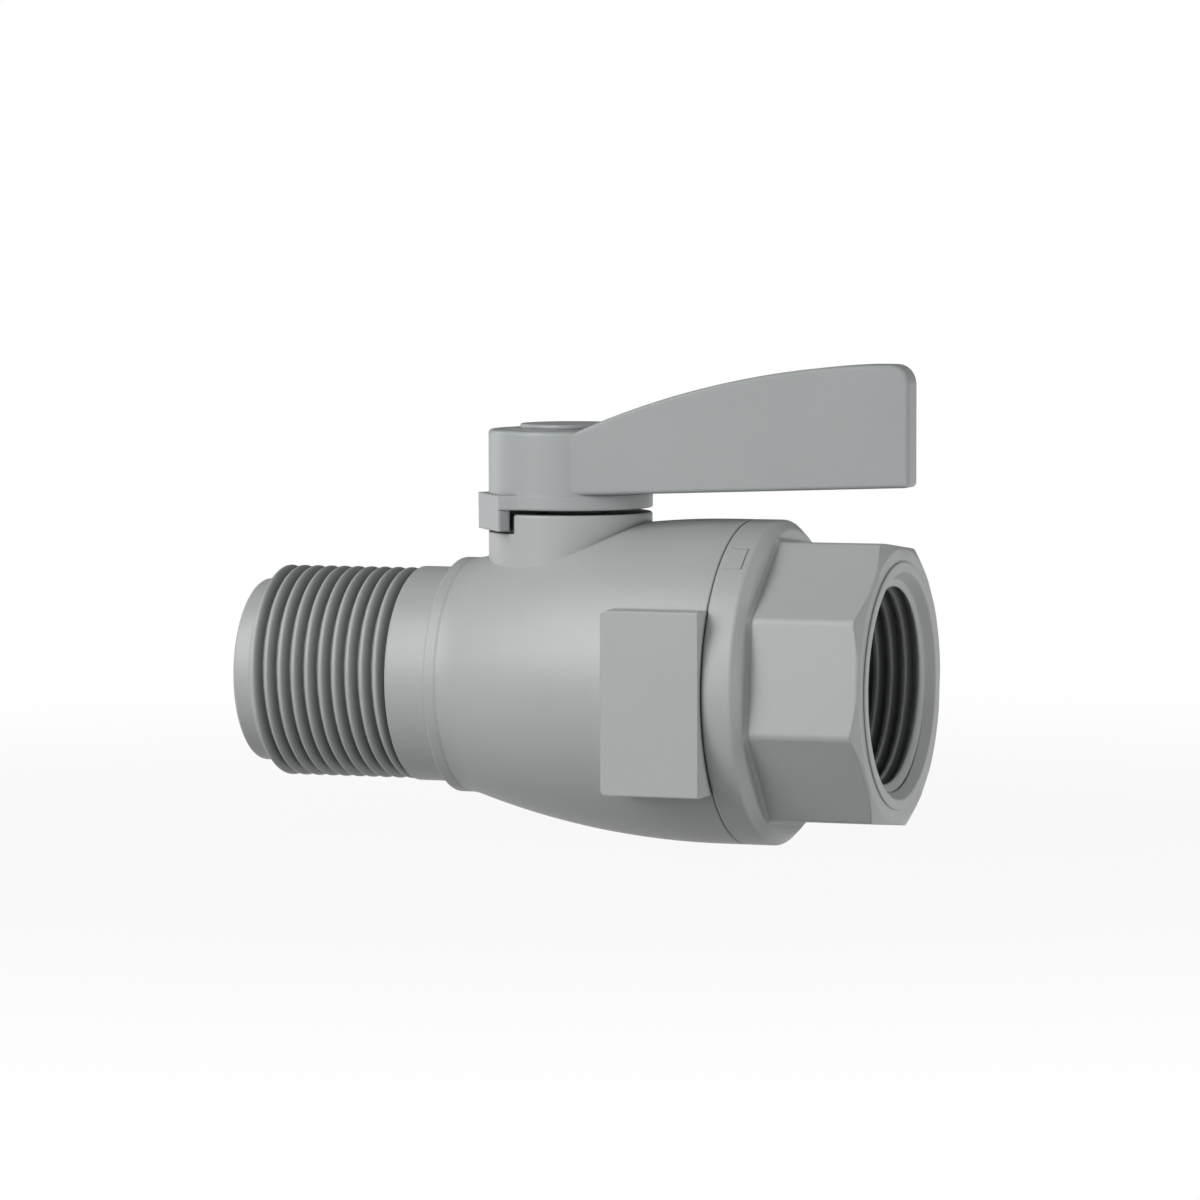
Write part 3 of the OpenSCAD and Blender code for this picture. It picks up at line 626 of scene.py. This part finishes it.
# %% [markdown]
# The hub, the collar below and the low land on top are turned in one outline. From below, the hub
# takes the stem's square end, and from above the screw. The collar carries the stop lug, whose tab
# hangs in the notch, and the tab's inner side is flat. The lug points in an odd direction, so it is
# drawn along X and then turned about the stem.

# %% The lug, the hub and the whole lever
collar_z, hub_top, cap_z, lever_collar_r, land_r = 21.15, 30.85, 30.97, 10.2, 8.0
pocket_r, pocket_z, square_half, square_top, screw_hole_r = 4.4, 27.85, 3.35, 26.35, 1.5
tab_z, tab_in, tab_out, half_tab = 18.5, 9.1, 10.6, 4.7
root_r, root_half = lever_collar_r - 0.15, math.radians(37)
root_x, root_y = root_r * math.cos(root_half), root_r * math.sin(root_half)
lug_corners = [(6, -4), (root_x, -root_y), (tab_out, -half_tab, 0.25), (tab_out, half_tab, 0.25),
               (root_x, root_y), (6, 4)]


def placed_lug(points):
    """Turns points about the stem to where the lug is, lever open."""
    c, s = math.cos(math.radians(lug_dir)), math.sin(math.radians(lug_dir))
    return [(stem_x + c * x - s * y, s * x + c * y) for x, y in points]


lug = prism("lug", placed_lug(rounded(lug_corners)), collar_z + 0.01, hub_z - 0.01)
tab_corners = [(tab_in, -half_tab), (tab_out, -half_tab, 0.25), (tab_out, half_tab, 0.25),
               (tab_in, half_tab)]
tab = prism("tab", placed_lug(rounded(tab_corners)), tab_z, collar_z + 0.5)
lever = turned("lever_moulding", rounded([
    (collar_z, 0), (collar_z, lever_collar_r, 0.2), (hub_z, lever_collar_r), (hub_z, hub_r),
    (hub_top, hub_r, 0.5), (hub_top, land_r), (cap_z, land_r, 0.1), (cap_z, 0)], 6), "z", stem_x)
below, above = collar_z - 1, 60
square = prism("square", [(stem_x + x * square_half, y * square_half) for x, y in (
    (-1, -1), (1, -1), (1, 1), (-1, 1))], below, square_top)
combine(square, [("INTERSECT", turned("square round", [
    (below, 0), (below, stem_bore_r), (square_top, stem_bore_r), (square_top, 0)], "z", stem_x, 96))])
top_pocket = turned("top pocket", [
    (below, 0), (below, screw_hole_r), (pocket_z, screw_hole_r), (pocket_z, pocket_r),
    (above, pocket_r), (above, 0)], "z", stem_x, 128)
combine(lever, [("UNION", blade), ("UNION", lug), ("UNION", tab), ("DIFFERENCE", top_pocket),
                ("DIFFERENCE", square)])
finished(lever, [], moulded_lever_pvc, "lever_set", ["lever"])

# %% [markdown]
# A push-in cap closes the top of the hub. It is a thin disc with a soft edge and a short skirt that
# grips the pocket, hollow below for the screw's head. All of it is round, so one turned outline is
# enough, and no boolean is needed.

# %% The cap
cap_r, cap_top, skirt_z, hollow_z = 6.2, cap_z + 0.55, cap_z - 0.8, cap_z - 0.2
skirt_r, hollow_r = pocket_r - 0.05, pocket_r - 1
cap = turned("hub_cap_moulding", rounded([
    (cap_top, 0), (cap_top, cap_r, 0.18), (cap_z, cap_r), (cap_z, skirt_r), (skirt_z, skirt_r, 0.1),
    (skirt_z, hollow_r), (hollow_z, hollow_r), (hollow_z, 0)]), "z", stem_x, 128)
finished(cap, [], moulded_lever_pvc, "lever_set", ["hub_cap"])

# %% [markdown]
# Under the cap, a pan-head screw with a cross recess holds the lever down on the stem. It is a bought
# fastener: its shank is threaded with the same tree as the pipe threads, at a pitch of 0.5 mm, and its
# recess is a cross-shaped cut that tapers downwards. The tree winds along X, so the shank is made there
# and then stood up under the head.

# %% The lever's screw
head_z, head_r, head_top, shank_len, screw_r = pocket_z + 0.5, 2.7, pocket_z + 2, 7.0, 1.45
arm_half, arm_half_width, arm_deep, arm_narrowing = 1.45, 0.28, 1.0, 0.45
screw = turned("lever_screw_head", rounded([
    (head_z, 0), (head_z, head_r, 0.15), (head_top, head_r, 0.9), (head_top, 0)]), "z", stem_x, 64)
arms = []
for turn_deg in (0, 90):
    arm = prism("arm", [(x * arm_half, y * arm_half_width) for x, y in (
        (-1, -1), (1, -1), (1, 1), (-1, 1))], -arm_deep, 0.4)
    for vertex in arm.data.vertices:
        if vertex.co.z < 0:
            vertex.co.x *= arm_narrowing
    arm.data.transform(Matrix.Translation((stem_x * MM, 0, head_top * MM))
                       @ Matrix.Rotation(math.radians(turn_deg), 4, "Z"))
    arms.append(("DIFFERENCE", arm))
combine(screw, arms)
screw_thread = thread("screw thread", 190, 40, stainless, start=0, end=shank_len + 0.2, pitch=0.5,
                      crest_radius=screw_r, depth=0.22, wall_radius=0.02, first_crest=0.2,
                      start_radius=0.9, start_blend=0.6, end_radius=1.3, end_blend=0.5)
screw_thread.data.transform(Matrix.Translation((stem_x * MM, 0, (head_z - shank_len) * MM))
                            @ Matrix.Rotation(math.radians(-90), 4, "Y"))
finished(screw, [screw_thread], stainless, "lever_set", ["lever_screw"])

# %% [markdown]
# The pieces inside are right as the CAD has them: the ball, the seats, the rubber rings, the stem and
# its washers. They keep their CAD meshes and only get their materials. The CAD meshes of the five
# rebuilt pieces get the same materials as the pieces that stand for them.

# %% Materials for the CAD nodes
finishes = {
    "ball": ball_pvc, "seat_inlet": seat_ptfe, "seat_outlet": seat_ptfe, "seat_ring_inlet": seal_rubber,
    "seat_ring_outlet": seal_rubber, "connector_ring": seal_rubber, "stem": stem_plastic,
    "stem_ring_lower": seal_rubber, "stem_ring_upper": seal_rubber, "thrust_washer": seat_ptfe,
    "screw_washer": stainless, "lever_screw": stainless, "body": moulded_pvc, "end_connector": moulded_pvc,
    "lever": moulded_lever_pvc, "hub_cap": moulded_lever_pvc,
}
for node, material in finishes.items():
    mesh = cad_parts[node].data
    mesh.materials.clear()
    mesh.materials.append(material)
print("CAD nodes with a material:", len(finishes))

# %% [markdown]
# The photograph shows the valve alone on white. A studio lights a paper sweep until it is white, but
# here that light would also fall on the valve. So, through Light Path, the floor looks white to the
# camera and in reflections, while it throws no more light on the valve than a matt grey does. Near the
# valve it keeps a little of its own shading, so a faint soft shadow shows under the valve.

# %% The floor
floor_z, floor_half = -body_r, 2500
floor = mesh_object("floor", [(x * floor_half, y * floor_half, floor_z) for x, y in (
    (-1, -1), (1, -1), (1, 1), (-1, 1))], [(0, 1, 2, 3)])
floor_white, tree = new_material("pale_floor")
path = add(tree, "ShaderNodeLightPath").outputs
direct = add(tree, "ShaderNodeMath", {0: path["Is Camera Ray"], 1: path["Is Glossy Ray"]},
             operation="MAXIMUM")
seen = add(tree, "ShaderNodeMath", {0: direct.outputs[0], 1: path["Is Transmission Ray"]},
           operation="MAXIMUM")
place = add(tree, "ShaderNodeTexCoord").outputs["Object"]
away = add(tree, "ShaderNodeVectorMath", {0: place, 1: (40 * MM, 0, floor_z * MM)}, operation="DISTANCE")
fade = add(tree, "ShaderNodeMapRange", {
    "Value": away.outputs["Value"], "From Min": 60 * MM, "From Max": 260 * MM, "To Min": 0.93,
    "To Max": 1.0}, interpolation_type="SMOOTHSTEP")
share = add(tree, "ShaderNodeMath", {0: seen.outputs[0], 1: fade.outputs[0]}, operation="MULTIPLY")
matt = add(tree, "ShaderNodeBsdfDiffuse", {"Color": linear("#909090")})
white = add(tree, "ShaderNodeEmission", {"Color": (1, 1, 1, 1), "Strength": 1.0})
mixed = add(tree, "ShaderNodeMixShader", {0: share.outputs[0], 1: matt.outputs[0], 2: white.outputs[0]})
add(tree, "ShaderNodeOutputMaterial", {"Surface": mixed.outputs[0]})
floor.data.materials.append(floor_white)
floor.visible_shadow = False
print("floor at", floor_z, "mm")

# %% [markdown]
# The world behind looks white to the camera in the same way, and lights the valve weakly from all
# round. Reflections see it only a little brighter than that weak light, because the valve's tops are
# dark in the photograph.

# %% The world
world_light, glossy_light = 0.1, 0.14
world = bpy.data.worlds.new("studio")
world.use_nodes = True
tree = world.node_tree
tree.nodes.clear()
path = add(tree, "ShaderNodeLightPath").outputs
seen = add(tree, "ShaderNodeMath", {0: path["Is Camera Ray"], 1: path["Is Transmission Ray"]},
           operation="MAXIMUM")
plain = add(tree, "ShaderNodeMix", {"Factor": path["Is Glossy Ray"], 2: world_light, 3: glossy_light})
strength = add(tree, "ShaderNodeMix", {"Factor": seen.outputs[0], 2: plain.outputs[0], 3: 1.0})
sky = add(tree, "ShaderNodeBackground", {"Color": (1, 1, 1, 1), "Strength": strength.outputs[0]})
add(tree, "ShaderNodeOutputWorld", {"Surface": sky.outputs[0]})
bpy.context.scene.world = world
print("world light", world_light, "and", glossy_light, "in reflections")

# %% [markdown]
# In the photograph every form is brightest on the side that faces front, left and upwards, and its
# top and underside fall off to a darker grey. So the key, a tall soft light, stands 38 degrees round
# to the left and 34 up, and a wide weaker one fills from the front. A rim light from the left lights
# the ends that face there. One light along the flow axis reaches the end face and a little of the
# socket, and one behind lifts the far edges. These two give no highlights, since the photograph shows
# none from there. No lamp stands above the valve. Large area lamps were chosen over small ones with a
# lot of power, because soft shadows and wide highlights come from size.

# %% Lights
def soft_light(name, place, aim, width, height, power, shines=True):
    """A rectangular area light, in metres and watts. One that doesn't shine gives no highlights."""
    lamp = bpy.data.lights.new(name, "AREA")
    lamp.shape, lamp.size, lamp.size_y, lamp.energy = "RECTANGLE", width, height, power
    lamp_object = bpy.data.objects.new(name, lamp)
    lamp_object.location = place
    lamp_object.visible_glossy = shines
    lamp_object.rotation_euler = (Vector(aim) - Vector(place)).to_track_quat("-Z", "Y").to_euler()
    bpy.context.scene.collection.objects.link(lamp_object)


middle = Vector((0.04, 0.0, 0.008))


def toward(azimuth_deg, elevation_deg, metres):
    """A place at this direction and distance from the valve. Azimuth 0 is straight in front."""
    a, e = math.radians(azimuth_deg), math.radians(elevation_deg)
    return middle + metres * Vector((math.sin(a) * math.cos(e), -math.cos(a) * math.cos(e), math.sin(e)))


soft_light("key", toward(-38, 34, 0.85), middle, 0.45, 0.8, 5.3)
soft_light("fill", toward(-14, 15, 0.8), middle, 0.8, 0.6, 3.2)
soft_light("rim", toward(-108, 12, 0.9), middle, 0.4, 0.6, 1.45)
soft_light("side", toward(92, 3, 0.9), middle, 0.22, 0.22, 4.3, shines=False)
soft_light("back", toward(188, 8, 0.9), middle, 0.8, 0.6, 1.0, shines=False)

# %% [markdown]
# The camera stands where the photograph was taken from: 20 degrees round to the right, nearly level,
# about 0.8 m away with a long lens, and rolled by 0.17 degrees. The lens shift puts the valve where it
# is in the photograph's frame, without turning the camera.

# %% Camera
azimuth, elevation, roll = math.radians(20.2), math.radians(4.7), math.radians(0.17)
target, distance = Vector((0.0375, 0.0, 0.0)), 0.78
back = Vector((math.sin(azimuth) * math.cos(elevation), -math.cos(azimuth) * math.cos(elevation),
               math.sin(elevation)))
right = Vector((math.cos(azimuth), math.sin(azimuth), 0))
up = back.cross(right)
image_right = math.cos(roll) * right - math.sin(roll) * up
image_up = math.sin(roll) * right + math.cos(roll) * up
camera_data = bpy.data.cameras.new("camera")
camera_data.sensor_width, camera_data.lens = 36.0, 188.4
camera_data.shift_x, camera_data.shift_y = 0.0259, 0.0640
camera_data.clip_end = 20.0
camera = bpy.data.objects.new("camera", camera_data)
camera.matrix_world = Matrix.Translation(target + back * distance) @ Matrix(
    (image_right, image_up, back)).transposed().to_4x4()
bpy.context.scene.collection.objects.link(camera)
bpy.context.scene.camera = camera
bpy.context.scene.view_settings.view_transform = "Standard"
print("camera at", [round(c, 3) for c in camera.location], "m")
